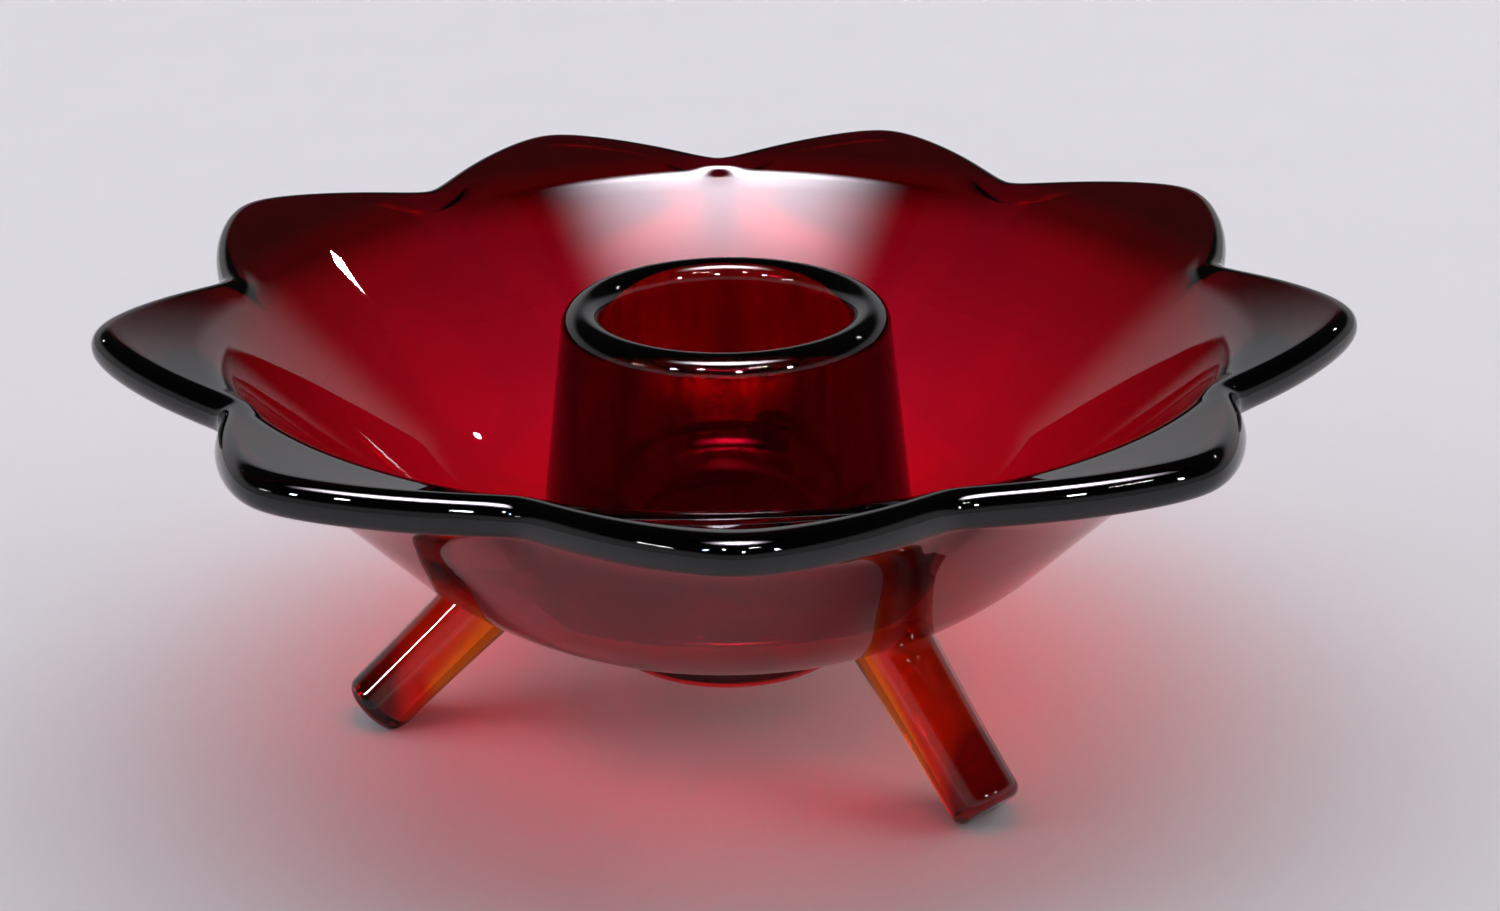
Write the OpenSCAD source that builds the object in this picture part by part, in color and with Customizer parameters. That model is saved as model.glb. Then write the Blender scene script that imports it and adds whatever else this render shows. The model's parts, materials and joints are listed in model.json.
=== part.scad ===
// Three-toed pressed glass candle holder: a shallow bowl with a nine-petal rim
// and a socket for a taper candle in the middle.
// The origin is on the socket's axis, on the table. +Z is up, and one petal points to -Y.

/* [Petal rim] */
// Distance from the axis to the end of a petal
tip_radius = 58.5; // [57:0.1:64]
// Distance from the axis to the rim's edge in a notch between two petals
notch_radius = 50.5; // [48:0.1:53]
// Height of the middle of the rim's edge at the end of a petal
tip_height = 41; // [39:0.1:46]
// Height of the middle of the rim's edge in a notch
notch_height = 39.3; // [38:0.1:44]
// Thickness of the round edge
edge_thickness = 3.4; // [2.6:0.1:4.2]
// Distance from the axis to the crease where the bowl's wall turns into the petals
crease_radius = 47.7; // [46:0.1:48]
// How far on each side of the crease the inner face turns
crease_rounding = 1.8; // [1:0.1:2.4]
// How tightly the outer face turns under the crease, from loose to sharp
outer_tightness = 0.8; // [0.4:0.05:0.95]
// How pointed the petals are, from round to sharp
sharpness = 0.88; // [0.5:0.01:0.98]
// How full the petals' sides are, below 1 for swelling sides
fullness = 0.88; // [0.6:0.01:1.4]

/* [Bowl] */
// Height of the bowl's underside at the middle
bowl_bottom = 10.1; // [8:0.1:14]
// Radius of the round part of the bowl's underside
bowl_round = 33.9; // [30:0.1:38]
// Radius of the flat middle of the bowl's underside
bowl_flat = 9.1; // [4:0.1:11]
// Slope of the bowl's wall above the round part, in degrees
wall_slope = 47; // [42:0.5:52]
// Thickness of the bowl's wall
wall = 3.4; // [2.6:0.1:4]
// Height at which the wall passes into the petal rim
rim_start = 29.5; // [27:0.1:32]

/* [Candle socket] */
// Diameter of the hole for the candle
candle_hole = 23.5; // [22.5:0.1:25]
// Height of the bottom of the candle hole
hole_floor = 20; // [18:0.1:26]
// Rounding between the hole's wall and its floor
hole_rounding = 4.5; // [1:0.5:8]
// Height of the top of the socket's lip
socket_top = 40.6; // [38:0.1:46]
// Thickness of the socket's wall at the lip
lip_thickness = 4; // [3:0.1:4.4]
// Outside radius of the socket where it meets the bowl's floor
socket_foot = 18.2; // [17.6:0.1:19.5]
// Radius of the curve between the socket and the floor
socket_fillet = 3; // [1:0.1:4]

/* [Base pad] */
// Radius of the pad under the bowl
pad_radius = 12.6; // [10.5:0.1:15]
// Height of the pad's underside above the table
pad_bottom = 5.6; // [3:0.1:7.5]
// Rounding of the pad's lower edge
pad_rounding = 1.2; // [0.4:0.1:1.6]

/* [Toes] */
// Number of toes
toe_count = 3; // [3:1:3]
// Lean of a toe from upright, in degrees
toe_lean = 47; // [36:1:50]
// Distance from the axis to the middle of a toe's end
toe_reach = 36; // [34:0.1:40]
// Height of the middle of a toe's end
toe_end_height = 1.1; // [0.8:0.05:1.4]
// Radius of a toe at its top, inside the bowl's glass
toe_root_radius = 4.2; // [3.8:0.1:5]
// Radius of a toe at its end
toe_end_radius = 3.4; // [3.1:0.1:3.8]
// Rounding around a toe's end
toe_rounding = 1.1; // [0.8:0.05:2]

/* [Hidden] */

petals = 9;
first_toe_turn = 40;
edge_radius = edge_thickness / 2;
hole_radius = candle_hole / 2;
steps_per_petal = 14;
curve_steps = 6;
crease_steps = 4;
edge_steps = 6;
arc_steps = 12;
quarter_steps = 6;
toe_steps = 8;
round_faces = 160;
toe_faces = 64;
toe_length = 24;
crease_step = 2.1;
crease_handle = 0.36;
least_straight = 0.28;
table_size = 140;
table_depth = 10;
cut_overlap = 2;

// Centre of the arcs that shape both faces of the bowl
arc_height = bowl_bottom + bowl_round;
inner_round = bowl_round - wall;

// A point on an arc about the bowl's centre, with the angle counted from straight down
function bowl_arc(radius, angle) =
    [bowl_flat + radius * sin(angle), arc_height - radius * cos(angle)];

// The radius at which the straight wall above an arc reaches a height
function wall_radius(radius, height) =
    let (top = bowl_arc(radius, wall_slope))
    top[0] + (height - top[1]) / tan(wall_slope);

// One face of the bowl, from the axis out to a height on the straight wall
function bowl_face(radius, height) = concat(
    [[0, arc_height - radius]],
    [for (i = [0 : arc_steps]) bowl_arc(radius, wall_slope * i / arc_steps)],
    [[wall_radius(radius, height), height]]);

// The unit direction of a slope
function heading(slope) = [cos(slope), sin(slope)];

// A cubic curve from a to b that leaves and arrives along two slopes, with handles of two lengths
function curve(a, a_slope, a_handle, b, b_slope, b_handle, t) =
    let (p = a + a_handle * heading(a_slope),
         q = b - b_handle * heading(b_slope))
    pow(1 - t, 3) * a + 3 * pow(1 - t, 2) * t * p + 3 * (1 - t) * t * t * q + t * t * t * b;

// The lean of a line that starts at a point and touches the top of a circle
function touching_lean(start, centre, radius) =
    let (d = centre - start)
    atan2(d[1], d[0]) + asin(min(1, radius / norm(d)));

// The point of the straight wall above an arc at a distance from the axis
function wall_point(radius, r) =
    let (top = bowl_arc(radius, wall_slope))
    [r, top[1] + (r - top[0]) * tan(wall_slope)];

// 0 in a notch and 1 at the end of a petal: a triangle wave with rounded corners
function petal(angle) =
    let (wave = 1 - acos(sharpness * cos(petals * angle)) / 180,
         low = 1 - acos(-sharpness) / 180,
         high = 1 - acos(sharpness) / 180)
    pow(max(0, (wave - low) / (high - low)), fullness);

function mix(a, b, share) = a + (b - a) * share;

// The rim's cross-section at one angle: up the underside, round the edge and back down inside.
// The top of a petal runs straight from the crease and touches the round edge.
function rim_section(angle) =
    let (s = petal(angle),
         centre = [mix(notch_radius, tip_radius, s) - edge_radius, mix(notch_height, tip_height, s)],
         inner_start = [wall_radius(inner_round, rim_start), rim_start],
         outer_start = [wall_radius(bowl_round, rim_start), rim_start],
         inner_crease = wall_point(inner_round, crease_radius),
         outer_crease = wall_point(bowl_round, crease_radius + crease_step),
         lean = touching_lean(inner_crease, centre, edge_radius),
         under = centre + edge_radius * [sin(lean), -cos(lean)],
         over = centre - edge_radius * [sin(lean), -cos(lean)],
         low_handle = outer_tightness * norm(outer_crease - outer_start),
         high_handle = outer_tightness * norm(outer_crease - under),
         turn_start = inner_crease - crease_rounding * heading(wall_slope),
         straight = max(least_straight, norm(over - inner_crease) - crease_rounding),
         turn_end = over - straight * heading(lean),
         handle = crease_handle * norm(turn_end - turn_start))
    concat(
        [for (i = [0 : curve_steps - 1])
            curve(outer_start, wall_slope, low_handle, under, lean, high_handle, i / curve_steps)],
        [for (i = [0 : edge_steps])
            centre + edge_radius * heading(lean - 90 + 180 * i / edge_steps)],
        [for (i = [crease_steps : -1 : 0])
            curve(turn_start, wall_slope, handle, turn_end, lean, handle, i / crease_steps)],
        [inner_start]);

// The space above the bowl's underside, which the pad and the toes are cut to
module above_underside() {
    rotate_extrude($fn = round_faces)
        polygon(concat(bowl_face(bowl_round, rim_start), [[0, rim_start]]));
}

// The glass below the bowl's inner face, which the socket's foot is cut to
module below_floor() {
    inner = bowl_face(inner_round, rim_start);
    cut_bottom = bowl_bottom - cut_overlap;
    rotate_extrude($fn = round_faces)
        polygon(concat(inner, [[inner[len(inner) - 1][0], cut_bottom], [0, cut_bottom]]));
}

module bowl() {
    inner = bowl_face(inner_round, rim_start);
    color("crimson")
        rotate_extrude($fn = round_faces)
            polygon(concat(
                bowl_face(bowl_round, rim_start),
                [for (i = [len(inner) - 1 : -1 : 0]) inner[i]]));
}

module petal_rim() {
    around = petals * steps_per_petal;
    sections = [for (i = [0 : around - 1]) rim_section(360 * i / around)];
    per_section = len(sections[0]);
    points = [for (i = [0 : around - 1]) for (p = sections[i])
        let (turn = 360 * i / around)
        [p[0] * sin(turn), -p[0] * cos(turn), p[1]]];
    function corner(i, j) = (i % around) * per_section + j % per_section;
    faces = [for (i = [0 : around - 1]) for (j = [0 : per_section - 1])
        each [[corner(i, j), corner(i, j + 1), corner(i + 1, j)],
              [corner(i + 1, j), corner(i, j + 1), corner(i + 1, j + 1)]]];
    color("darkred")
        polyhedron(points = points, faces = faces, convexity = 6);
}

// Half of the socket's cross-section, with a foot that reaches below the bowl's floor
module socket_profile() {
    lip_radius = lip_thickness / 2;
    lip_middle = [hole_radius + lip_radius, socket_top - lip_radius];
    fillet_end = bowl_arc(inner_round, asin((socket_foot + socket_fillet - bowl_flat) / inner_round));
    polygon(concat(
        [[0, bowl_bottom], [fillet_end[0], bowl_bottom]],
        [for (i = [0 : quarter_steps])
            let (turn = 90 * i / quarter_steps)
            fillet_end + socket_fillet * [-sin(turn), 1 - cos(turn)]],
        [for (i = [0 : 2 * quarter_steps])
            lip_middle + lip_radius * heading(90 * i / quarter_steps)],
        [for (i = [0 : quarter_steps])
            let (turn = 90 * i / quarter_steps)
            [hole_radius - hole_rounding * (1 - cos(turn)),
             hole_floor + hole_rounding * (1 - sin(turn))]],
        [[0, hole_floor]]));
}

module candle_socket() {
    color("maroon")
        difference() {
            rotate_extrude($fn = round_faces) socket_profile();
            below_floor();
        }
}

module base_pad() {
    color("orangered")
        difference() {
            rotate_extrude($fn = round_faces)
                polygon(concat(
                    [[0, pad_bottom]],
                    [for (i = [0 : quarter_steps])
                        let (turn = 90 * i / quarter_steps)
                        [pad_radius - pad_rounding + pad_rounding * sin(turn),
                         pad_bottom + pad_rounding - pad_rounding * cos(turn)]],
                    [[pad_radius, bowl_bottom + cut_overlap], [0, bowl_bottom + cut_overlap]]));
            above_underside();
        }
}

// A toe's outline along its own axis, from its end at 0 up into the bowl
module toe_profile() {
    polygon(concat(
        [[0, 0]],
        [for (i = [0 : quarter_steps])
            let (turn = 90 * i / quarter_steps)
            [toe_end_radius - toe_rounding + toe_rounding * sin(turn),
             toe_rounding - toe_rounding * cos(turn)]],
        [for (i = [1 : toe_steps])
            let (t = i / toe_steps)
            [mix(toe_end_radius, toe_root_radius, t * t), mix(toe_rounding, toe_length, t)]],
        [[0, toe_length]]));
}

module toe(turn) {
    color("firebrick")
        difference() {
            rotate([0, 0, turn])
                translate([0, -toe_reach, toe_end_height])
                    rotate([-toe_lean, 0, 0])
                        rotate_extrude($fn = toe_faces) toe_profile();
            above_underside();
            translate([-table_size / 2, -table_size / 2, -table_depth])
                cube([table_size, table_size, table_depth]);
        }
}

module toe_front_right() {
    toe(first_toe_turn);
}

module toe_back() {
    toe(first_toe_turn + 360 / toe_count);
}

module toe_left() {
    toe(first_toe_turn + 2 * 360 / toe_count);
}

bowl();
petal_rim();
candle_socket();
base_pad();
toe_front_right();
toe_back();
toe_left();
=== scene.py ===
import json
import math

import bpy
import numpy as np
from bpy.props import FloatProperty, FloatVectorProperty, IntProperty, PointerProperty
from bpy.types import Operator, Panel, PropertyGroup
from mathutils import Matrix, Vector


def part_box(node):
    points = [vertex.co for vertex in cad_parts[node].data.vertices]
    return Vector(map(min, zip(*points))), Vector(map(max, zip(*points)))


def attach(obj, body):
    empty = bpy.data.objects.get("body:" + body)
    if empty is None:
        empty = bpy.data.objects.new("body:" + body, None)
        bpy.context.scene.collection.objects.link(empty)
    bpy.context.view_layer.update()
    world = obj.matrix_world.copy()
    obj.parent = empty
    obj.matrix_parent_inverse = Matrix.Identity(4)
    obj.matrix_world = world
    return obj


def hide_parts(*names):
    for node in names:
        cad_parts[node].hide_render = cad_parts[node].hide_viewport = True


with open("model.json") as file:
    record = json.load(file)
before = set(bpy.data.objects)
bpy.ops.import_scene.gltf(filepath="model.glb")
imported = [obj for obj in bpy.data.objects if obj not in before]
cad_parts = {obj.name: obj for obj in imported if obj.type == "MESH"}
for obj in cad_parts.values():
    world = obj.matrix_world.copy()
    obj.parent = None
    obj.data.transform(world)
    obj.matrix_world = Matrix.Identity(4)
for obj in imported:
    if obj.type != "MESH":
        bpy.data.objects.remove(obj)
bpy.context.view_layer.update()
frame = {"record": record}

bl_info = {
    "name": "Ruby glass candle holder",
    "version": (1, 0, 0),
    "blender": (4, 5, 0),
    "location": "3D View > Sidebar > Candle Holder",
    "description": "Builds a three-toed ruby glass candle holder with a petal rim around its packed frame",
    "category": "Object",
}

MM = 0.001
BODY = "root"
SKIN = "skin"
UNDERSIDE = "underside"
OUTER_SIDE = "outer_side"
FROM_END = "from_end"
JOIN_GAP = 0.004 * MM
CREASE_HANDLE = 0.36
PETAL_STEPS = 72
SHARP_OVER = math.radians(40)
IOR = 1.51
AIM = (0, 0, 30 * MM)


def corners(node):
    """The lowest and highest corner of a node, in metres."""
    low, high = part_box(node)
    return np.array(low), np.array(high)


def mount(name):
    """A mount of the packed record."""
    return next(m for m in frame["record"]["mounts"] if m["name"] == name)


BOWL_LOW, BOWL_HIGH = corners("bowl")
PETAL_END = -corners("petal_rim")[0][1]
SOCKET_HIGH = corners("candle_socket")[1]
PAD_LOW, PAD_HIGH = corners("base_pad")
CANDLE_HOLE = mount("candle_socket")
HOLE_RADIUS = CANDLE_HOLE["dims"]["r_mm"] * MM
HOLE_WALL_TOP = CANDLE_HOLE["pos_m"][2]


def length(name, description, default):
    """A length property, in metres."""
    return FloatProperty(name=name, description=description, default=default, unit="LENGTH", precision=5)


def angle(name, description, degrees):
    """An angle property, given in degrees."""
    return FloatProperty(name=name, description=description, default=math.radians(degrees), unit="ROTATION")


def colour(name, description, default):
    """A linear colour property."""
    return FloatVectorProperty(
        name=name, description=description, default=default, subtype="COLOR", size=3, min=0, max=1)


# ---------------------------------------------------------------- settings


class BowlShape(PropertyGroup):
    """Sizes of the bowl's glass."""

    bottom: length("Bottom", "Height of the underside at the middle", BOWL_LOW[2])
    top: length("Top", "Height at which the wall passes into the petal rim", BOWL_HIGH[2])
    round_radius: length("Round", "Radius of the round part of the underside", 33.9 * MM)
    flat_radius: length("Flat", "Radius of the flat middle of the underside", 9.1 * MM)
    slope: angle("Slope", "Slope of the wall above the round part", 47)
    wall: length("Wall", "Thickness of the wall", 3.4 * MM)


class RimShape(PropertyGroup):
    """Sizes of the petal rim."""

    petals: IntProperty(name="Petals", description="Number of petals", default=9, min=3, max=24)
    tip_radius: length("Tip radius", "Distance from the axis to the end of a petal", PETAL_END)
    notch_radius: length("Notch radius", "Distance from the axis to the edge in a notch", 50.5 * MM)
    tip_height: length("Tip height", "Height of the middle of the edge at a tip", 41 * MM)
    notch_height: length("Notch height", "Height of the middle of the edge in a notch", 39.3 * MM)
    edge: length("Edge", "Thickness of the round edge", 3.4 * MM)
    crease_radius: length("Crease radius", "Distance from the axis to the crease above the wall", 47.7 * MM)
    crease_step: length("Crease step", "How much further out the crease of the underside lies", 2.1 * MM)
    sharpness: FloatProperty(
        name="Sharpness", description="How pointed the petals are, from round to sharp", default=0.88,
        min=0, max=0.98)
    fullness: FloatProperty(
        name="Fullness", description="How full the petals' sides are", default=0.88, min=0.5, max=1.5)
    crease_rounding: length(
        "Crease rounding", "How far on each side of the crease the inner face turns", 1.8 * MM)
    least_straight: length(
        "Least straight", "Straight run inside the edge where the petal is shortest", 0.28 * MM)
    tightness: FloatProperty(
        name="Tightness", description="How tightly the outer face turns", default=0.8, min=0.3, max=0.95)


class SocketShape(PropertyGroup):
    """Sizes of the candle socket."""

    top: length("Top", "Height of the top of the lip", SOCKET_HIGH[2])
    hole_radius: length("Hole radius", "Radius of the hole for the candle", HOLE_RADIUS)
    hole_floor: length("Hole floor", "Height of the bottom of the hole", 20 * MM)
    hole_rounding: length("Hole rounding", "Rounding at the bottom of the hole", 4.5 * MM)
    lip: length("Lip", "Thickness of the wall at the lip", 2 * (SOCKET_HIGH[2] - HOLE_WALL_TOP))
    fillet: length("Fillet", "Radius of the curve between the socket and the bowl", 3 * MM)
    foot_radius: length("Foot radius", "Radius at which the socket meets the bowl", SOCKET_HIGH[0])


class PadShape(PropertyGroup):
    """Sizes of the base pad."""

    radius: length("Radius", "Radius of the pad", PAD_HIGH[0])
    bottom: length("Bottom", "Height of the pad's underside", PAD_LOW[2])
    rounding: length("Rounding", "Rounding of the lower edge", 1.2 * MM)


class ToeShape(PropertyGroup):
    """Sizes of the three toes."""

    first_turn: angle("First turn", "Turn of the front right toe from -Y", 40)
    lean: angle("Lean", "Lean of a toe from upright", 47)
    reach: length("Reach", "Distance from the axis to the middle of a toe's end", 36 * MM)
    end_height: length("End height", "Height of the middle of a toe's end", 1.1 * MM)
    span: length("Span", "Length along a toe over which it swells", 24 * MM)
    root_radius: length("Root radius", "Radius of a toe at its top", 4.2 * MM)
    end_radius: length("End radius", "Radius of a toe at its end", 3.4 * MM)
    rounding: length("Rounding", "Rounding around a toe's end", 1.1 * MM)


class GlassColours(PropertyGroup):
    """Colours of the glass, as what it lets through, and how many times a metre it takes the rest."""

    bowl: colour("Bowl", "What the bowl's glass lets through", (0.92, 0.0, 0.3))
    bowl_depth: FloatProperty(name="Bowl depth", description="Strength of the bowl's colour", default=1500)
    rim: colour("Rim", "What the rim's glass lets through", (0.92, 0.0, 0.3))
    rim_depth: FloatProperty(name="Rim depth", description="Strength of the rim's colour", default=1500)
    socket: colour("Socket", "What the socket's glass lets through", (0.85, 0.0, 0.3))
    socket_depth: FloatProperty(
        name="Socket depth", description="Strength of the socket's colour", default=1150)
    pad: colour("Pad", "What the pad's glass lets through", (0.97, 0.4, 0.0))
    pad_depth: FloatProperty(name="Pad depth", description="Strength of the pad's colour", default=450)
    toe: colour("Toe", "What the toes' glass lets through", (0.97, 0.82, 0.1))
    toe_depth: FloatProperty(name="Toe depth", description="Strength of the toes' colour", default=1800)
    toe_ruby: colour("Toe ruby", "Tint of the middle of a toe", (0.9, 0.07, 0.03))
    # Painted shade: this dark tint darkens each toe's outer side and its end.
    toe_painted_shade: colour("Toe painted shade", "Tint of the end and the outermost side of a toe", (0.1, 0.0, 0.015))
    toe_amber: colour("Toe amber", "Tint of the inner side of a toe", (1.0, 0.8, 0.2))
    floor: colour("Floor", "Colour of the floor", (0.84, 0.83, 0.86))


class StageShape(PropertyGroup):
    """The camera and the lamps."""

    lens: FloatProperty(
        name="Lens", description="Focal length on a 36 mm sensor", default=57.35, unit="CAMERA")
    distance: length("Distance", "From the camera to the middle of the rim", 227.5 * MM)
    elevation: angle("Elevation", "Height of the camera above the level of the rim", 19.37)
    turn: angle("Turn", "Turn of the camera about the axis from -Y", -0.7)
    yaw: angle("Yaw", "How far the camera looks to the right of the middle", 0.534)
    pitch: angle("Pitch", "How far the camera looks above the middle", -3.513)
    roll: angle("Roll", "How far the camera leans", -0.681)
    aim_height: length("Aim height", "Height of the point that the distance is measured to", 40 * MM)


SETTINGS = {
    "holder_bowl": BowlShape,
    "holder_rim": RimShape,
    "holder_socket": SocketShape,
    "holder_pad": PadShape,
    "holder_toes": ToeShape,
    "holder_colours": GlassColours,
    "holder_stage": StageShape,
}


# ---------------------------------------------------------------- profiles


def bowl_arc(bowl, radius, turn):
    """Points (r, z) on an arc about the bowl's centre: the flat radius plus the radius times the sine of the
    turn, and the centre's height minus the radius times its cosine."""
    return np.stack(
        [bowl.flat_radius + radius * np.sin(turn),
         bowl.bottom + bowl.round_radius - radius * np.cos(turn)], -1)


def bowl_height(bowl, radius, r):
    """Height of the bowl's face of one arc radius at distance r from the axis, on the flat and on the arc."""
    sine = np.clip((r - bowl.flat_radius) / radius, 0, math.sin(bowl.slope))
    return bowl.bottom + bowl.round_radius - radius * np.sqrt(1 - sine ** 2)


def wall_radius(bowl, radius, height):
    """Distance from the axis to the straight wall above an arc, at a height."""
    top = bowl_arc(bowl, radius, bowl.slope)
    return top[0] + (height - top[1]) / math.tan(bowl.slope)


def bowl_face(bowl, radius, stop, steps):
    """One face of the bowl from the axis to exactly the radius `stop`: the flat, then the arc."""
    flat = np.linspace(0, min(bowl.flat_radius, stop), steps // 3 + 1)
    r = flat
    if stop > bowl.flat_radius:
        last = math.asin(min((stop - bowl.flat_radius) / radius, math.sin(bowl.slope)))
        r = np.concatenate([flat[:-1], bowl.flat_radius + radius * np.sin(np.linspace(0, last, steps))])
    return np.stack([r, bowl_height(bowl, radius, r)], -1)


def bowl_side(bowl, radius, start, steps):
    """One face of the bowl from the radius `start` on its arc, up the arc and the wall to its top."""
    first = math.asin((start - bowl.flat_radius) / radius)
    arc = bowl_arc(bowl, radius, np.linspace(first, bowl.slope, steps))
    share = np.linspace(0, 1, steps // 3 + 1)[1:, None]
    top = np.array([wall_radius(bowl, radius, bowl.top), bowl.top])
    return np.concatenate([arc, arc[-1] + share * (top - arc[-1])])


def arc_points(centre, radius, first, last, steps):
    """Points on a circle from one angle to another, in degrees from the outward direction."""
    turn = np.radians(np.linspace(first, last, steps))
    return np.array(centre) + radius * np.stack([np.cos(turn), np.sin(turn)], -1)


def petal(rim, turn):
    """0 in a notch and 1 at the end of a petal: a triangle wave with rounded corners, raised to the fullness.
    The wave is one minus the arc cosine of the sharpness times the cosine of the petals' angle, over pi."""
    wave = 1 - np.arccos(rim.sharpness * np.cos(rim.petals * turn)) / math.pi
    low = 1 - math.acos(-rim.sharpness) / math.pi
    high = 1 - math.acos(rim.sharpness) / math.pi
    return np.clip((wave - low) / (high - low), 0, 1) ** rim.fullness


def heading(slope):
    """The unit direction (r, z) of a slope, or of an array of slopes."""
    return np.stack([np.cos(slope), np.sin(slope)], -1)


def curve(start, start_slope, start_handle, end, end_slope, end_handle, share):
    """A cubic curve from start to end that leaves along one slope and arrives along another, with handles
    of two lengths."""
    p = start + start_handle * heading(start_slope)
    q = end - end_handle * heading(end_slope)
    start, p, q, end = (point[..., None, :] for point in (np.broadcast_to(start, end.shape), p, q, end))
    t = share[:, None]
    return (1 - t) ** 3 * start + 3 * (1 - t) ** 2 * t * p + 3 * (1 - t) * t ** 2 * q + t ** 3 * end


def wall_point(bowl, radius, r):
    """The point of the straight wall above an arc at a distance from the axis."""
    top = bowl_arc(bowl, radius, bowl.slope)
    return np.array([r, top[1] + (r - top[0]) * math.tan(bowl.slope)])


def apart(a, b):
    """The distance between points, kept as a column."""
    return np.linalg.norm(b - a, axis=-1, keepdims=True)


def rim_sections(bowl, rim, around, curve_steps, edge_steps):
    """The rim's cross-section at each of `around` angles, as rows of (r, z): up the underside, round the edge
    and back down inside. The edge is a half circle whose middle runs between a notch's and a tip's. The top
    of a petal runs straight from the crease and touches it, and the inner face turns in a short cubic curve
    about the crease. The underside is one long cubic curve that arrives parallel to the top."""
    turn = np.arange(around) * 2 * math.pi / around
    tip = petal(rim, turn)
    edge_radius = rim.edge / 2
    middle = np.stack(
        [rim.notch_radius + (rim.tip_radius - rim.notch_radius) * tip - edge_radius,
         rim.notch_height + (rim.tip_height - rim.notch_height) * tip], -1)
    inside = bowl.round_radius - bowl.wall
    inner_crease = wall_point(bowl, inside, rim.crease_radius)
    outer_crease = wall_point(bowl, bowl.round_radius, rim.crease_radius + rim.crease_step)
    reach = middle - inner_crease
    touch = np.minimum(1, edge_radius / np.linalg.norm(reach, axis=-1))
    lean = np.arctan2(reach[:, 1], reach[:, 0]) + np.arcsin(touch)
    across = edge_radius * np.stack([np.sin(lean), -np.cos(lean)], -1)
    under, over = middle + across, middle - across
    outer = np.array([wall_radius(bowl, bowl.round_radius, bowl.top), bowl.top])
    inner = np.array([wall_radius(bowl, inside, bowl.top), bowl.top])
    below = curve(
        outer, bowl.slope, rim.tightness * apart(outer, outer_crease), under, lean,
        rim.tightness * apart(under, outer_crease), np.linspace(0, 1, curve_steps))
    turn_start = inner_crease - rim.crease_rounding * heading(bowl.slope)
    straight = np.maximum(rim.least_straight, apart(over, inner_crease) - rim.crease_rounding)
    turn_end = over - straight * heading(lean)
    handle = CREASE_HANDLE * apart(turn_start, turn_end)
    bent = curve(turn_start, bowl.slope, handle, turn_end, lean, handle, np.linspace(1, 0, curve_steps // 2))
    run = np.linspace(0, 1, curve_steps // 3)[:-1, None]
    petal_top = over[:, None] + run * (turn_end - over)[:, None]
    wall = np.broadcast_to(inner + run[::-1] * (turn_start - inner), (around, len(run), 2))
    half = lean[:, None] + np.radians(np.linspace(-90, 90, edge_steps)[1:-1])
    edge = middle[:, None] + edge_radius * heading(half)
    return turn, np.concatenate([below, edge, petal_top, bent, wall], 1)


# ---------------------------------------------------------------- meshes


def spun(turn, sections):
    """Turns rows of (r, z) about the axis, each row to its own angle from -Y towards +X: x is r times the
    sine of the angle, y is minus r times its cosine, and z stays."""
    r, z = sections[..., 0], sections[..., 1]
    sine, cosine = np.sin(turn)[:, None], np.cos(turn)[:, None]
    return np.stack([r * sine, -r * cosine, z], -1)


def add_piece(name, vertices, quads, triangles, skin):
    """Puts vertices, quads and triangles into a new mesh object at the origin. `skin` holds, for each face,
    1 on the outside of the glass and 0 where the piece passes into its neighbour."""
    mesh = bpy.data.meshes.new(name)
    faces = quads.tolist() + triangles.tolist()
    mesh.from_pydata(vertices.tolist(), [], faces)
    attribute = mesh.attributes.new(SKIN, "FLOAT", "FACE")
    attribute.data.foreach_set("value", np.asarray(skin, np.float32))
    mesh.polygons.foreach_set("use_smooth", np.ones(len(faces), bool))
    mesh.set_sharp_from_angle(angle=SHARP_OVER)
    mesh.validate()
    piece = bpy.data.objects.new(name, mesh)
    bpy.context.scene.collection.objects.link(piece)
    return piece


def add_points(piece, name, values):
    """Stores one number a vertex, which a material can read by its name."""
    attribute = piece.data.attributes.new(name, "FLOAT", "POINT")
    attribute.data.foreach_set("value", np.asarray(values, np.float32))


def grid_quads(columns, rows, close_rows):
    """Quads of a grid whose columns close round the axis, in the order column, row, so that a profile that
    runs outwards along an underside faces down."""
    i = np.arange(columns)[:, None]
    j = np.arange(rows if close_rows else rows - 1)[None]
    right, up = (i + 1) % columns, (j + 1) % rows
    return np.stack([i * rows + j, right * rows + j, right * rows + up, i * rows + up], -1).reshape(-1, 4)


def lathe_piece(name, profile, joined, around=256):
    """A closed solid turned from a profile of (r, z) that starts and ends on the axis. `joined` says for each
    stretch between two profile points whether the glass goes on into a neighbour there."""
    turn = np.arange(around) * 2 * math.pi / around
    inner = profile[1:-1]
    points = spun(turn, np.broadcast_to(inner, (around, len(inner), 2)))
    poles = np.array([[0, 0, profile[0, 1]], [0, 0, profile[-1, 1]]])
    vertices = np.concatenate([points.reshape(-1, 3), poles])
    quads = grid_quads(around, len(inner), False)
    first = np.arange(around) * len(inner)
    after = np.roll(first, -1)
    start, end = len(vertices) - 2, len(vertices) - 1
    bottom = np.stack([np.full(around, start), after, first], -1)
    top = np.stack([first + len(inner) - 1, after + len(inner) - 1, np.full(around, end)], -1)
    joined = np.asarray(joined, bool)
    skin = np.concatenate([
        np.tile(~joined[1:-1], around),
        np.full(around, not joined[0]),
        np.full(around, not joined[-1])])
    return add_piece(name, vertices, quads, np.concatenate([bottom, top]), skin)


def stretches(*parts):
    """Joins profile parts end to end. Each part is (points, joined); the stretch that leads into a part
    counts as that part's."""
    points = np.concatenate([p for p, _ in parts])
    joined = np.concatenate([np.full(len(p), j) for p, j in parts])[1:]
    return points, joined


# ---------------------------------------------------------------- materials


def new_material(name):
    """An empty node material."""
    material = bpy.data.materials.new(name)
    material.use_nodes = True
    material.node_tree.nodes.clear()
    return material


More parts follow.
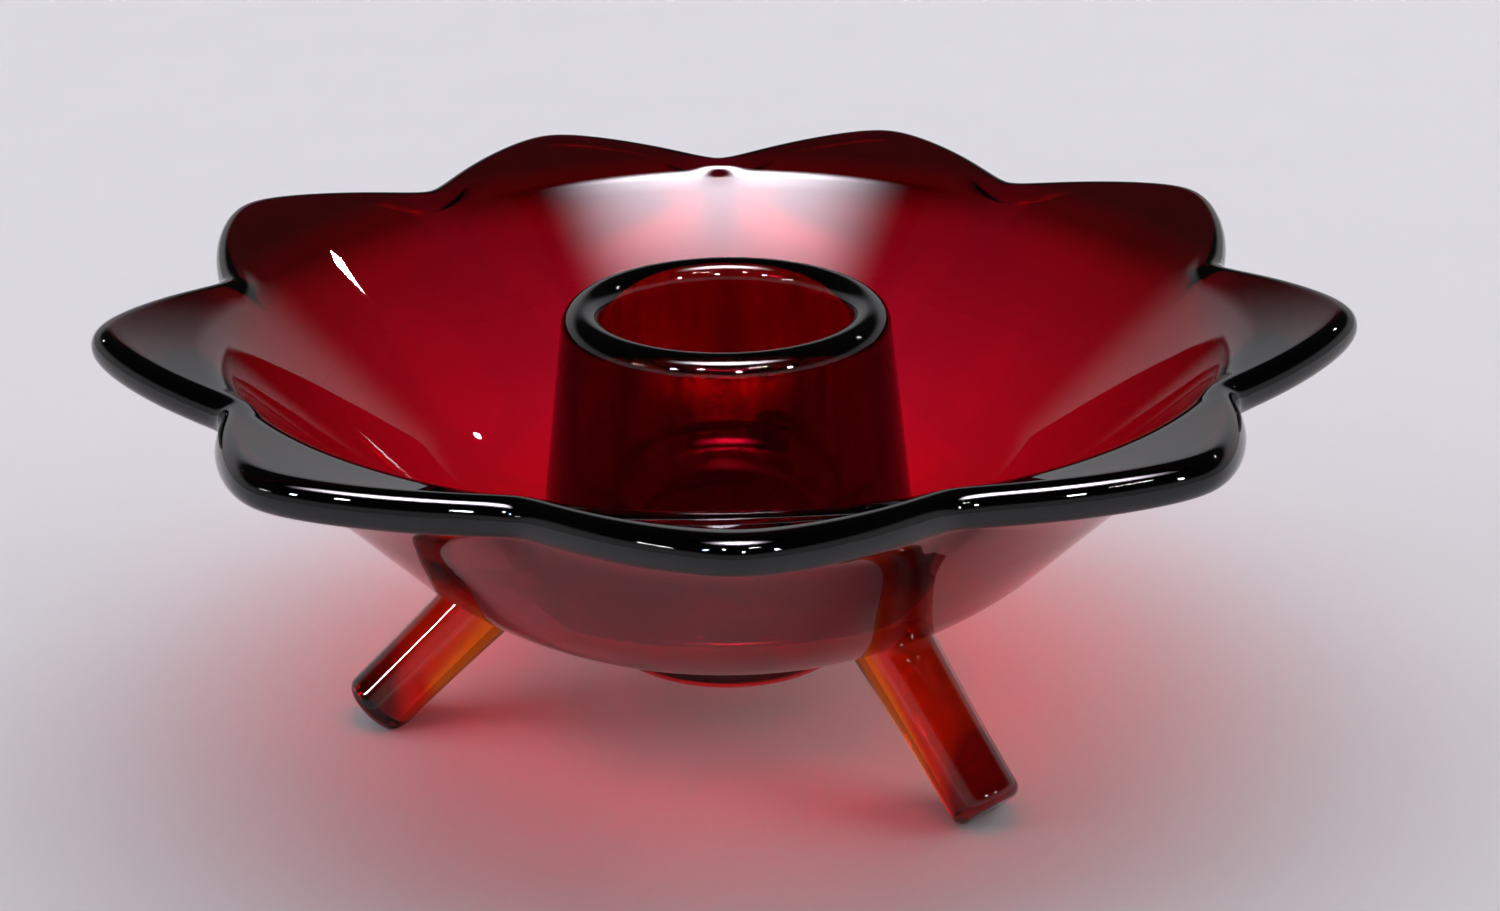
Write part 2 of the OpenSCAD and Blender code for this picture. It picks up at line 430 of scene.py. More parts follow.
def node(tree, kind, inputs=None, **settings):
    """Adds a node, sets its settings, and sets or links its inputs by name or number."""
    made = tree.nodes.new(kind)
    for key, value in settings.items():
        setattr(made, key, value)
    for key, value in (inputs or {}).items():
        if isinstance(value, bpy.types.NodeSocket):
            tree.links.new(value, made.inputs[key])
        else:
            made.inputs[key].default_value = value
    return made


def maths(tree, operation, a, b=0.0, c=0.0):
    """The result of a Math node."""
    return node(tree, "ShaderNodeMath", {0: a, 1: b, 2: c}, operation=operation).outputs[0]


def new_group(name, inputs, outputs):
    """An empty shader group with the given inputs and outputs, and the sockets of its two end nodes."""
    tree = bpy.data.node_groups.new(name, "ShaderNodeTree")
    for label, kind in inputs:
        tree.interface.new_socket(name=label, in_out="INPUT", socket_type=kind)
    for label, kind in outputs:
        tree.interface.new_socket(name=label, in_out="OUTPUT", socket_type=kind)
    return tree, tree.nodes.new("NodeGroupInput").outputs, tree.nodes.new("NodeGroupOutput").inputs


def polish_group():
    """The finish of fire-polished glass: slow waves left by the plunger, and a haze of fine dust that lifts
    the roughness in patches."""
    tree, given, result = new_group(
        "Fire polish",
        [("Wave Size", "NodeSocketFloat"), ("Clear", "NodeSocketFloat"), ("Hazy", "NodeSocketFloat")],
        [("Height", "NodeSocketFloat"), ("Roughness", "NodeSocketFloat")])
    place = node(tree, "ShaderNodeTexCoord").outputs["Object"]
    waves = node(tree, "ShaderNodeTexNoise", {"Vector": place, "Scale": given["Wave Size"], "Detail": 1.0})
    dust = node(tree, "ShaderNodeTexNoise", {"Vector": place, "Scale": 90.0, "Detail": 4.0, "Roughness": 0.6})
    patches = node(
        tree, "ShaderNodeMapRange",
        {"Value": dust.outputs["Fac"], "From Min": 0.45, "From Max": 0.75,
         "To Min": given["Clear"], "To Max": given["Hazy"]})
    tree.links.new(waves.outputs["Fac"], result["Height"])
    tree.links.new(patches.outputs["Result"], result["Roughness"])
    return tree


def upward_darkening_group():
    """A colour that is clear low in the bowl, darker with height and darkest out on the petals, with a faint
    cloudiness. It gives the colour that each pass through the surface is multiplied by."""
    tree, given, result = new_group(
        "Upward darkening",
        [("Wall Bottom", "NodeSocketFloat"), ("Wall Top", "NodeSocketFloat"),
         ("Crease Radius", "NodeSocketFloat"), ("Petal Radius", "NodeSocketFloat")],
        [("Color", "NodeSocketColor")])
    place = node(tree, "ShaderNodeTexCoord").outputs["Object"]
    clouds = node(tree, "ShaderNodeTexNoise", {"Vector": place, "Scale": 70.0, "Detail": 3.0}).outputs["Fac"]
    height = node(tree, "ShaderNodeSeparateXYZ", {0: place}).outputs["Z"]
    flat = node(tree, "ShaderNodeVectorMath", {0: place, 1: (1, 1, 0)}, operation="MULTIPLY").outputs[0]
    radius = node(tree, "ShaderNodeVectorMath", {0: flat}, operation="LENGTH").outputs["Value"]
    cloudy_height = maths(tree, "MULTIPLY_ADD", clouds, 0.006, maths(tree, "SUBTRACT", height, 0.003))
    climb = node(
        tree, "ShaderNodeMapRange",
        {"Value": cloudy_height, "From Min": given["Wall Bottom"],
         "From Max": given["Wall Top"]}).outputs["Result"]
    spread = node(
        tree, "ShaderNodeMapRange",
        {"Value": radius, "From Min": given["Crease Radius"], "From Max": given["Petal Radius"]},
        interpolation_type="SMOOTHSTEP").outputs["Result"]
    wall = node(
        tree, "ShaderNodeMix",
        {"Factor": climb, "A": (1, 1, 1, 1), "B": (0.3, 0.12, 0.3, 1)}, data_type="RGBA")
    petals = node(
        tree, "ShaderNodeMix",
        {"Factor": spread, "A": wall.outputs["Result"], "B": (0.07, 0.015, 0.05, 1)}, data_type="RGBA")
    tree.links.new(petals.outputs["Result"], result["Color"])
    return tree


def streak_group():
    """Faint upright streaks, darker in bands: noise stretched up the socket."""
    tree, given, result = new_group(
        "Upright streaks", [("Streak Size", "NodeSocketFloat")], [("Color", "NodeSocketColor")])
    place = node(tree, "ShaderNodeTexCoord").outputs["Object"]
    tall = node(tree, "ShaderNodeVectorMath", {0: place, 1: (1, 1, 0.18)}, operation="MULTIPLY").outputs[0]
    noise = node(
        tree, "ShaderNodeTexNoise",
        {"Vector": tall, "Scale": given["Streak Size"], "Detail": 4.0}).outputs["Fac"]
    share = node(
        tree, "ShaderNodeMapRange", {"Value": noise, "From Min": 0.35, "From Max": 0.65}).outputs["Result"]
    shades = node(
        tree, "ShaderNodeMix",
        {"Factor": share, "A": (0.95, 0.8, 0.85, 1), "B": (0.4, 0.15, 0.3, 1)}, data_type="RGBA")
    tree.links.new(shades.outputs["Result"], result["Color"])
    return tree


def upward_darkening(scene):
    """The tint that the bowl and the petal rim share, darker towards the top and out on the petals, for
    glass().
    """
    bowl, rim = scene.holder_bowl, scene.holder_rim

    def tint(tree):
        group = node(tree, "ShaderNodeGroup", node_tree=group_once("Upward darkening", upward_darkening_group))
        group.inputs["Wall Bottom"].default_value = bowl.bottom + bowl.wall
        group.inputs["Wall Top"].default_value = rim.notch_height
        group.inputs["Crease Radius"].default_value = rim.crease_radius - rim.crease_step / 2
        group.inputs["Petal Radius"].default_value = rim.notch_radius
        return group.outputs["Color"]

    return tint


def footprint_group(toes):
    """1 where a point lies inside a toe's outline as it would run on into the bowl. The distance along the
    toe is the dot product with its axis, and the distance from the axis is the cross product's length."""
    tree, given, result = new_group(
        "Toe footprint",
        [("End", "NodeSocketVector"), ("Axis", "NodeSocketVector")],
        [("Mask", "NodeSocketFloat")])
    place = node(tree, "ShaderNodeTexCoord").outputs["Object"]
    away = node(tree, "ShaderNodeVectorMath", {0: place, 1: given["End"]}, operation="SUBTRACT").outputs[0]
    both = {0: away, 1: given["Axis"]}
    along = node(tree, "ShaderNodeVectorMath", both, operation="DOT_PRODUCT").outputs["Value"]
    across = node(tree, "ShaderNodeVectorMath", both, operation="CROSS_PRODUCT").outputs[0]
    distance = node(tree, "ShaderNodeVectorMath", {0: across}, operation="LENGTH").outputs["Value"]
    share = maths(tree, "DIVIDE", along, toes.span)
    swell = maths(tree, "MULTIPLY", maths(tree, "MULTIPLY", share, share), toes.root_radius - toes.end_radius)
    inside = maths(tree, "LESS_THAN", distance, maths(tree, "ADD", swell, toes.end_radius))
    tree.links.new(inside, result["Mask"])
    return tree


def group_once(name, make, *values):
    """A shader group by name, made the first time it is asked for."""
    return bpy.data.node_groups.get(name) or make(*values)


def glass(name, through, depth, wave_size=60.0, wave_height=0.012, clear=0.0, hazy=0.03, tint=None, cut=None):
    """Clear glass whose body takes light away: a Principled shader that lets all light in, over a plain
    volume absorption. The skin attribute opens the faces that pass into a neighbour, so that the whole
    casting bends light as one body. `tint` and `cut` add a surface colour and further openings."""
    material = new_material(name)
    tree = material.node_tree
    polish = node(tree, "ShaderNodeGroup", node_tree=group_once("Fire polish", polish_group))
    polish.inputs["Wave Size"].default_value = wave_size
    polish.inputs["Clear"].default_value = clear
    polish.inputs["Hazy"].default_value = hazy
    skin = node(tree, "ShaderNodeAttribute", attribute_name=SKIN).outputs["Fac"]
    bump = node(
        tree, "ShaderNodeBump",
        {"Height": polish.outputs["Height"], "Strength": 1.0, "Distance": wave_height * MM})
    shader = node(
        tree, "ShaderNodeBsdfPrincipled",
        {"Base Color": (1, 1, 1, 1), "Roughness": polish.outputs["Roughness"], "Transmission Weight": 1.0,
         "IOR": IOR, "Normal": bump.outputs["Normal"], "Alpha": skin if cut is None else cut(tree, skin)})
    if tint is not None:
        tree.links.new(tint(tree), shader.inputs["Base Color"])
    body = node(tree, "ShaderNodeVolumeAbsorption", {"Color": (*through, 1), "Density": depth})
    node(
        tree, "ShaderNodeOutputMaterial",
        {"Surface": shader.outputs["BSDF"], "Volume": body.outputs["Volume"]})
    return material


def finish_piece(piece, material, nodes):
    """Gives a piece its material, hangs it under the body and hides the CAD parts that it stands for."""
    piece.data.materials.append(material)
    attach(piece, BODY)
    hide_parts(*nodes)


# ---------------------------------------------------------------- toes


def toe_frame(toes, turn):
    """The middle of a toe's end, its axis up into the bowl, and two directions across it. The first points
    outwards and up."""
    outward = np.array([math.sin(turn), -math.cos(turn), 0])
    up = np.array([0, 0, 1.0])
    sine, cosine = math.sin(toes.lean), math.cos(toes.lean)
    return (
        toes.reach * outward + toes.end_height * up,
        cosine * up - sine * outward,
        cosine * outward + sine * up,
        np.array([math.cos(turn), math.sin(turn), 0]))


def toe_radius(toes, along):
    """Radius of a toe at a distance from its end: it swells with the square of the distance."""
    return toes.end_radius + (toes.root_radius - toes.end_radius) * (along / toes.span) ** 2


def toe_turns(toes):
    """The three toes' names and turns."""
    return [(name, toes.first_turn + k * 2 * math.pi / 3)
            for k, name in enumerate(("toe_front_right", "toe_back", "toe_left"))]


def up_to_bowl(bowl, base, axis, gap, limit, halvings=40):
    """How far each base point travels along the axis to the bowl's underside, by halving a step."""
    low, high = np.zeros(base.shape[:-1]), np.full(base.shape[:-1], limit)
    for _ in range(halvings):
        middle = (low + high) / 2
        point = base + middle[..., None] * axis
        underside = bowl_height(bowl, bowl.round_radius, np.hypot(point[..., 0], point[..., 1]))
        above = point[..., 2] > underside - gap
        low, high = np.where(above, low, middle), np.where(above, middle, high)
    return low


def toe_piece(name, turn, bowl, toes, around=96, cap_steps=10, side_steps=40, rounds=6):
    """A toe: a round profile carried along its axis, cut level at the table and fitted to the bowl's
    underside. A ring of the end follows the rounding, a ring of the side lies a share of the way to the
    bowl, and a ring of the top closes in on the axis along the underside."""
    end, axis, outward, sideways = toe_frame(toes, turn)
    spin = np.arange(around) * 2 * math.pi / around
    spoke = np.cos(spin)[:, None] * outward + np.sin(spin)[:, None] * sideways

    def at(radius, along):
        return end + radius[..., None] * spoke[:, None] + along[..., None] * axis

    flat = toes.end_radius - toes.rounding
    quarter = np.linspace(0, math.pi / 2, cap_steps)
    radius = np.concatenate([np.linspace(0, flat, cap_steps)[1:-1], flat + toes.rounding * np.sin(quarter)])
    along = np.concatenate([np.zeros(cap_steps - 2), toes.rounding * (1 - np.cos(quarter))])
    radius, along = np.tile(radius, (around, 1)), np.tile(along, (around, 1))
    to_table = -at(radius, np.zeros_like(along))[..., 2] / axis[2]
    along = np.maximum(along, to_table)
    side_start = along[:, -1:]
    full = np.full((around, 1), toes.end_radius)
    reach = up_to_bowl(bowl, at(full, np.zeros_like(full)), axis, JOIN_GAP, toes.span)
    for _ in range(rounds):
        full = toe_radius(toes, reach)
        reach = up_to_bowl(bowl, at(full, np.zeros_like(full)), axis, JOIN_GAP, toes.span)
    side = side_start + (reach - side_start) * np.linspace(0, 1, side_steps)[None, 1:]
    swelling = np.minimum(toe_radius(toes, side), full)
    top = full * np.linspace(1, 0, cap_steps)[None, 1:-1]
    top_reach = up_to_bowl(bowl, at(top, np.zeros_like(top)), axis, JOIN_GAP, toes.span)
    rings = np.concatenate([at(radius, along), at(swelling, side), at(top, top_reach)], 1)
    centre = np.zeros((1, 1))
    last = up_to_bowl(bowl, end + centre[..., None], axis, JOIN_GAP, toes.span)[0, 0]
    table = max(0.0, -end[2] / axis[2])
    vertices = np.concatenate([rings.reshape(-1, 3), [end + table * axis], [end + last * axis]])
    rows = rings.shape[1]
    quads = grid_quads(around, rows, False)
    first = np.arange(around) * rows
    after = np.roll(first, -1)
    start, stop = len(vertices) - 2, len(vertices) - 1
    bottom = np.stack([np.full(around, start), after, first], -1)
    lid = np.stack([first + rows - 1, after + rows - 1, np.full(around, stop)], -1)
    top_rows = cap_steps - 2
    row_skin = np.arange(rows - 1) < rows - 1 - top_rows
    skin = np.concatenate([np.tile(row_skin, around), np.ones(around), np.zeros(around)])
    piece = add_piece(name, vertices, quads, np.concatenate([bottom, lid]), skin)
    away = vertices - end
    add_points(piece, OUTER_SIDE, away @ outward / toes.end_radius)
    add_points(piece, FROM_END, away @ axis / toes.span)
    return piece


# ---------------------------------------------------------------- operators


class HOLDER_OT_bowl(Operator):
    """Builds the bowl: the round dish between the middle and the petal rim"""

    bl_idname = "holder.bowl"
    bl_label = "Bowl"

    def execute(self, context):
        scene = context.scene
        bowl, pad, socket, toes = scene.holder_bowl, scene.holder_pad, scene.holder_socket, scene.holder_toes
        colours = scene.holder_colours
        inside = bowl.round_radius - bowl.wall
        under_pad = bowl_face(bowl, bowl.round_radius, pad.radius, 24)
        underside = bowl_side(bowl, bowl.round_radius, pad.radius, 60)[1:]
        inner_side = bowl_side(bowl, inside, socket.foot_radius, 50)[::-1]
        under_socket = bowl_face(bowl, inside, socket.foot_radius, 24)[::-1][1:]
        profile, joined = stretches(
            (under_pad, True), (underside, False), (inner_side[:1], True), (inner_side[1:], False),
            (under_socket, True))
        around = 360
        piece = lathe_piece("bowl_glass", profile, joined, around)
        outer_rows = len(under_pad) + len(underside)
        marks = np.zeros(len(profile) - 1)
        marks[len(under_pad) - 1:outer_rows - 1] = 1
        below = piece.data.attributes.new(UNDERSIDE, "FLOAT", "FACE")
        below.data.foreach_set("value", np.concatenate([np.tile(marks[1:-1], around), np.zeros(2 * around)]))

        def toe_openings(tree, skin):
            below = node(tree, "ShaderNodeAttribute", attribute_name=UNDERSIDE).outputs["Fac"]
            group = group_once("Toe footprint", footprint_group, toes)
            covered = 0.0
            for _, turn in toe_turns(toes):
                end, axis, _, _ = toe_frame(toes, turn)
                mask = node(tree, "ShaderNodeGroup", node_tree=group)
                mask.inputs["End"].default_value = end
                mask.inputs["Axis"].default_value = axis
                covered = maths(tree, "MAXIMUM", mask.outputs["Mask"], covered)
            open_share = maths(tree, "MULTIPLY", covered, below)
            return maths(tree, "SUBTRACT", skin, open_share)

        material = glass(
            "ruby bowl glass", colours.bowl, colours.bowl_depth, tint=upward_darkening(scene), cut=toe_openings)
        finish_piece(piece, material, ["bowl"])
        return {"FINISHED"}


class HOLDER_OT_petal_rim(Operator):
    """Builds the flared rim of nine petals with its thick round edge"""

    bl_idname = "holder.petal_rim"
    bl_label = "Petal rim"

    def execute(self, context):
        scene = context.scene
        bowl, rim, colours = scene.holder_bowl, scene.holder_rim, scene.holder_colours
        around = rim.petals * PETAL_STEPS
        turn, sections = rim_sections(bowl, rim, around, curve_steps=30, edge_steps=21)
        sections[:, [0, -1], 1] += JOIN_GAP
        rows = sections.shape[1]
        points = spun(turn, sections)
        quads = grid_quads(around, rows, True)
        skin = np.tile(np.arange(rows) < rows - 1, around)
        piece = add_piece("petal_rim_glass", points.reshape(-1, 3), quads, np.zeros((0, 3), int), skin)
        material = glass(
            "ruby rim glass", colours.rim, colours.rim_depth, wave_height=0.03, tint=upward_darkening(scene))
        finish_piece(piece, material, ["petal_rim"])
        return {"FINISHED"}


class HOLDER_OT_candle_socket(Operator):
    """Builds the tapered candle socket with its rounded lip and blind hole"""

    bl_idname = "holder.candle_socket"
    bl_label = "Candle socket"

    def execute(self, context):
        scene = context.scene
        bowl, socket, colours = scene.holder_bowl, scene.holder_socket, scene.holder_colours
        inside = bowl.round_radius - bowl.wall
        foot = bowl_face(bowl, inside, socket.foot_radius, 24) + [0, JOIN_GAP]
        lip = socket.lip / 2
        fillet = arc_points(foot[-1] + [0, socket.fillet], socket.fillet, -90, -180, 14)
        ring = arc_points([socket.hole_radius + lip, socket.top - lip], lip, 0, 180, 33)
        body = fillet[-1] + np.linspace(0, 1, 20)[1:-1, None] * (ring[0] - fillet[-1])
        wall = np.linspace(ring[-1], [socket.hole_radius, socket.hole_floor + socket.hole_rounding], 16)[1:-1]
        corner = [socket.hole_radius - socket.hole_rounding, socket.hole_floor + socket.hole_rounding]
        bottom = arc_points(corner, socket.hole_rounding, 0, -90, 16)
        floor = np.linspace(bottom[-1], [0, socket.hole_floor], 8)[1:]
        profile, joined = stretches(
            (foot, True), (fillet[1:], False), (body, False), (ring, False), (wall, False), (bottom, False),
            (floor, False))
        piece = lathe_piece("candle_socket_glass", profile, joined)

        def streaks(tree):
            group = node(tree, "ShaderNodeGroup", node_tree=group_once("Upright streaks", streak_group))
            group.inputs["Streak Size"].default_value = 260.0
            return group.outputs["Color"]

        material = glass(
            "ruby socket glass", colours.socket, colours.socket_depth, wave_size=110.0, wave_height=0.03,
            tint=streaks)
        finish_piece(piece, material, ["candle_socket"])
        return {"FINISHED"}


class HOLDER_OT_base_pad(Operator):
    """Builds the low round pad under the middle of the bowl"""

    bl_idname = "holder.base_pad"
    bl_label = "Base pad"

    def execute(self, context):
        scene = context.scene
        bowl, pad, colours = scene.holder_bowl, scene.holder_pad, scene.holder_colours
        top = bowl_face(bowl, bowl.round_radius, pad.radius, 24)[::-1] - [0, JOIN_GAP]
        edge = arc_points([pad.radius - pad.rounding, pad.bottom + pad.rounding], pad.rounding, -90, 0, 12)
        flat = np.linspace([0, pad.bottom], edge[0], 12)[:-1]
        side = np.linspace(edge[-1], top[0], 6)[1:-1]
        profile, joined = stretches(
            (flat, False), (edge, False), (side, False), (top[:1], False), (top[1:], True))
        piece = lathe_piece("base_pad_glass", profile, joined, around=192)
        material = glass("amber ruby pad glass", colours.pad, colours.pad_depth, clear=0.05, hazy=0.25)
        finish_piece(piece, material, ["base_pad"])
        return {"FINISHED"}


class HOLDER_OT_toes(Operator):
    """Builds the three splayed toes"""

    bl_idname = "holder.toes"
    bl_label = "Toes"

    def execute(self, context):
        scene = context.scene
        bowl, toes, colours = scene.holder_bowl, scene.holder_toes, scene.holder_colours

        def amber_ruby_painted_shade(tree):
            """Amber along the inner side, ruby in the middle, and painted shade, a dark tint, on the outer
            side and at the end, with wandering borders."""
            side = node(tree, "ShaderNodeAttribute", attribute_name=OUTER_SIDE).outputs["Fac"]
            climb = node(tree, "ShaderNodeAttribute", attribute_name=FROM_END).outputs["Fac"]
            place = node(tree, "ShaderNodeTexCoord").outputs["Object"]
            streaks = node(tree, "ShaderNodeTexNoise", {"Vector": place, "Scale": 160.0, "Detail": 2.0})
            wander = maths(tree, "MULTIPLY_ADD", streaks.outputs["Fac"], 0.5, -0.25)
            # Painted shade near the end of a toe: this pushes the tint towards the dark one there.
            painted_end_shade = node(
                tree, "ShaderNodeMapRange",
                {"Value": climb, "From Max": 0.3, "To Min": 1.3, "To Max": 0.0}).outputs["Result"]
            height = maths(tree, "MULTIPLY_ADD", climb, -1.2, painted_end_shade)
            place_on = maths(tree, "ADD", maths(tree, "ADD", side, wander), height)
            tints = (*colours.toe_amber, 1)
            # The second step mixes in the painted shade on the outer side and at the end.
            for low, high, next_tint in ((-0.8, -0.2, colours.toe_ruby), (0.0, 0.9, colours.toe_painted_shade)):
                share = node(
                    tree, "ShaderNodeMapRange", {"Value": place_on, "From Min": low, "From Max": high},
                    interpolation_type="SMOOTHSTEP").outputs["Result"]
                tints = node(
                    tree, "ShaderNodeMix", {"Factor": share, "A": tints, "B": (*next_tint, 1)},
                    data_type="RGBA").outputs["Result"]
            return tints

        material = glass(
            "amber toe glass", colours.toe, colours.toe_depth, wave_size=90.0, tint=amber_ruby_painted_shade)
        for name, turn in toe_turns(toes):
            piece = toe_piece(name + "_glass", turn, bowl, toes)
            finish_piece(piece, material, [name])
        return {"FINISHED"}


class HOLDER_OT_stage(Operator):
    """Lays the floor, hangs the lamps and sets up the camera"""

    bl_idname = "holder.stage"
    bl_label = "Stage"

    def execute(self, context):
        scene = context.scene
        add_floor(scene.holder_colours)
        add_world()
        add_lamps()
        add_camera(scene.holder_stage)
        scene.view_settings.view_transform = "Standard"
        scene.cycles.max_bounces = scene.cycles.transmission_bounces = 28
        scene.cycles.glossy_bounces = 12
        scene.cycles.transparent_max_bounces = 40
        scene.cycles.sample_clamp_indirect = 8.0
        return {"FINISHED"}


# ---------------------------------------------------------------- stage


def add_floor(colours):
    """A wide level floor at the soles of the toes, with a soft mottle so faint that it reads as plain."""
    half = 1.5
    mesh = bpy.data.meshes.new("floor")
    sheet = [(-half, -half, 0), (half, -half, 0), (half, half, 0), (-half, half, 0)]
    mesh.from_pydata(sheet, [], [(0, 1, 2, 3)])
    floor = bpy.data.objects.new("floor", mesh)
    bpy.context.scene.collection.objects.link(floor)
    material = new_material("pale floor")
    tree = material.node_tree
    place = node(tree, "ShaderNodeTexCoord").outputs["Object"]
    mottle = node(tree, "ShaderNodeTexNoise", {"Vector": place, "Scale": 40.0, "Detail": 3.0})
    shade = node(
        tree, "ShaderNodeMix", {"Factor": mottle.outputs["Fac"], "A": (*colours.floor, 1),
                                "B": tuple(0.97 * c for c in colours.floor) + (1,)}, data_type="RGBA")
    shader = node(
        tree, "ShaderNodeBsdfPrincipled",
        {"Base Color": shade.outputs["Result"], "Roughness": 0.8, "Specular IOR Level": 0.1})
    node(tree, "ShaderNodeOutputMaterial", {"Surface": shader.outputs["BSDF"]})
    mesh.materials.append(material)


def add_world():
    """A dark room with a pale band along the horizon."""
    world = bpy.data.worlds.new("studio")
    bpy.context.scene.world = world
    world.use_nodes = True
    tree = world.node_tree
    tree.nodes.clear()
    way = node(tree, "ShaderNodeTexCoord").outputs["Generated"]
    height = node(tree, "ShaderNodeSeparateXYZ", {0: way}).outputs["Z"]
    band = node(
        tree, "ShaderNodeMapRange",
        {"Value": height, "From Min": 0.25, "From Max": 0.42, "To Min": 0.42, "To Max": 0.02},
        interpolation_type="SMOOTHSTEP")
    light = node(
        tree, "ShaderNodeBackground", {"Color": (0.95, 0.95, 1.0, 1), "Strength": band.outputs["Result"]})
    node(tree, "ShaderNodeOutputWorld", {"Surface": light.outputs["Background"]})


def towards(place, target):
    """The turn that points an object's -Z from a place to a target."""
    return (Vector(target) - Vector(place)).to_track_quat("-Z", "Y")


def add_lamp(name, place, size, power, tint=(1, 1, 1), glints=True):
    """A rectangular lamp turned to the holder. One that glints shows only in reflections, and any other
    lights without showing in them."""
    data = bpy.data.lights.new(name, "AREA")
    data.shape = "RECTANGLE"
    data.size, data.size_y = size
    data.energy = power
    data.color = tint
    lamp = bpy.data.objects.new(name, data)
    lamp.location = place
    lamp.rotation_euler = towards(place, AIM).to_euler()
    lamp.visible_glossy = glints
    lamp.visible_diffuse = lamp.visible_transmission = not glints
    bpy.context.scene.collection.objects.link(lamp)


def add_glow(place, half_width, half_height, strength):
    """A glowing sheet turned to the holder, bright in the middle and fading to nothing at its edge: its
    light is the strength times the fourth power of one minus the squared distance from the middle."""
    turn = towards(place, AIM).to_matrix()
    sheet = np.array([(-1, -1, 0), (1, -1, 0), (1, 1, 0), (-1, 1, 0)]) * [half_width, half_height, 0]
    corners_at = np.array(place) + sheet @ np.array(turn).T
    mesh = bpy.data.meshes.new("glow")
    mesh.from_pydata(corners_at.tolist(), [], [(3, 2, 1, 0)])
    layer = mesh.uv_layers.new(name="sheet")
    layer.data.foreach_set("uv", [-1, 1, 1, 1, 1, -1, -1, -1])
    glow = bpy.data.objects.new("glow", mesh)
    bpy.context.scene.collection.objects.link(glow)
    material = new_material("glow")
    tree = material.node_tree
    spot = node(tree, "ShaderNodeUVMap", uv_map="sheet").outputs["UV"]
    distance = node(tree, "ShaderNodeVectorMath", {0: spot}, operation="LENGTH").outputs["Value"]
    squared = maths(tree, "MULTIPLY", distance, distance)
    fade = maths(tree, "MAXIMUM", maths(tree, "SUBTRACT", 1.0, squared), 0.0)
    power = maths(tree, "MULTIPLY", maths(tree, "POWER", fade, 4.0), strength)
    light = node(tree, "ShaderNodeEmission", {"Color": (0.96, 0.88, 1.0, 1), "Strength": power})
    node(tree, "ShaderNodeOutputMaterial", {"Surface": light.outputs["Emission"]})
    mesh.materials.append(material)
    glow.visible_camera = glow.visible_diffuse = False


def add_lamps():
    """A glow high in front, wide fills that only light, and small lamps that only glint."""
    add_glow((0.0, -0.21, 1.14), 0.66, 0.3, 60.0)
    add_lamp("overhead fill", (0, 0.3, 1.5), (2.2, 1.6), 23.0, (0.98, 0.96, 1.0), glints=False)
    add_lamp("right fill", (1.3, 0.2, 0.75), (1.2, 0.8), 6.0, glints=False)
    add_lamp("left fill", (-1.3, 0.0, 0.75), (1.2, 0.8), 5.0, (0.92, 0.92, 1.0), glints=False)
    add_lamp("blue glint", (-0.55, -0.65, 0.62), (0.06, 0.1), 2.6, (0.5, 0.6, 1.0))
    add_lamp("front glint", (0.12, -0.85, 0.6), (0.07, 0.08), 2.6, (1, 0.98, 0.95))
    add_lamp("high glint", (-0.3, -0.75, 0.85), (0.07, 0.05), 2.2)
    add_lamp("right glint", (0.6, -0.6, 0.5), (0.05, 0.1), 2.4, (0.9, 0.93, 1.0))
    add_lamp("left toe glint", (-0.83, -0.4, 0.45), (0.22, 0.01), 1.1)
    add_lamp("right toe glint", (0.3, -0.57, 0.8), (0.2, 0.012), 1.2)
    add_lamp("far right glint", (0.75, 0.6, 0.7), (0.03, 0.03), 0.5)
    add_lamp("far left glint", (-0.8, 0.7, 0.55), (0.03, 0.005), 0.12)


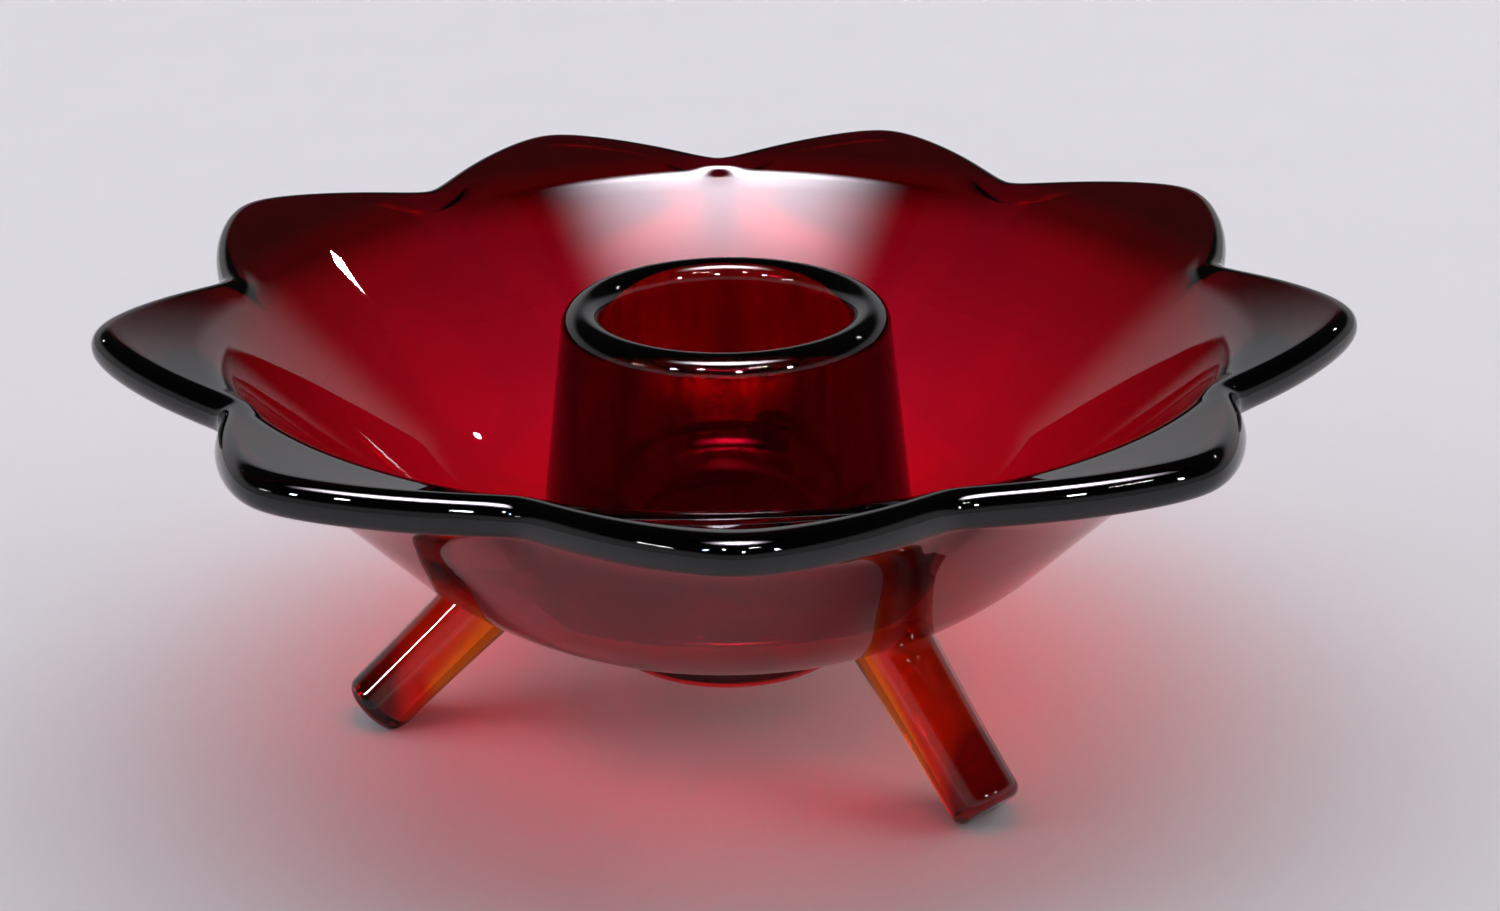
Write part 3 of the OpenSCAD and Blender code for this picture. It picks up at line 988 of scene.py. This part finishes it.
def add_camera(stage):
    """A camera at the given distance and elevation from the middle of the rim, turned by yaw, pitch and
    roll."""
    aim = Vector((0, 0, stage.aim_height))
    turn = Matrix.Rotation(stage.turn, 3, "Z")
    forward = turn @ Vector((0, math.cos(stage.elevation), -math.sin(stage.elevation)))
    place = aim - stage.distance * forward
    right = turn @ Vector((1, 0, 0))
    up = right.cross(forward)
    ahead = forward * math.cos(stage.yaw) + right * math.sin(stage.yaw)
    right = right * math.cos(stage.yaw) - forward * math.sin(stage.yaw)
    ahead, up = (ahead * math.cos(stage.pitch) + up * math.sin(stage.pitch),
                 up * math.cos(stage.pitch) - ahead * math.sin(stage.pitch))
    right, up = (right * math.cos(stage.roll) + up * math.sin(stage.roll),
                 up * math.cos(stage.roll) - right * math.sin(stage.roll))
    data = bpy.data.cameras.new("camera")
    data.lens = stage.lens
    data.sensor_width = 36
    data.clip_start = 0.01
    camera = bpy.data.objects.new("camera", data)
    camera.matrix_world = Matrix.Translation(place) @ Matrix((right, up, -ahead)).transposed().to_4x4()
    bpy.context.scene.collection.objects.link(camera)
    bpy.context.scene.camera = camera


# ---------------------------------------------------------------- add-on


OPERATORS = (
    HOLDER_OT_stage, HOLDER_OT_bowl, HOLDER_OT_petal_rim, HOLDER_OT_candle_socket, HOLDER_OT_base_pad,
    HOLDER_OT_toes)


class HOLDER_PT_panel(Panel):
    """The candle holder's settings and the buttons that build its pieces"""

    bl_idname = "HOLDER_PT_panel"
    bl_label = "Candle Holder"
    bl_space_type = "VIEW_3D"
    bl_region_type = "UI"
    bl_category = "Candle Holder"

    def draw(self, context):
        for operator in OPERATORS:
            self.layout.operator(operator.bl_idname)
        for name, settings in SETTINGS.items():
            box = self.layout.box()
            box.label(text=settings.__doc__)
            for field in settings.__annotations__:
                box.prop(getattr(context.scene, name), field)


def register():
    for settings in SETTINGS.values():
        bpy.utils.register_class(settings)
    for name, settings in SETTINGS.items():
        setattr(bpy.types.Scene, name, PointerProperty(type=settings))
    for operator in OPERATORS:
        bpy.utils.register_class(operator)
    bpy.utils.register_class(HOLDER_PT_panel)


def unregister():
    bpy.utils.unregister_class(HOLDER_PT_panel)
    for operator in reversed(OPERATORS):
        bpy.utils.unregister_class(operator)
    for name in SETTINGS:
        delattr(bpy.types.Scene, name)
    for settings in SETTINGS.values():
        bpy.utils.unregister_class(settings)


def main():
    register()
    bpy.ops.holder.stage()
    bpy.ops.holder.bowl()
    bpy.ops.holder.petal_rim()
    bpy.ops.holder.candle_socket()
    bpy.ops.holder.base_pad()
    bpy.ops.holder.toes()


if __name__ == "__main__":
    main()
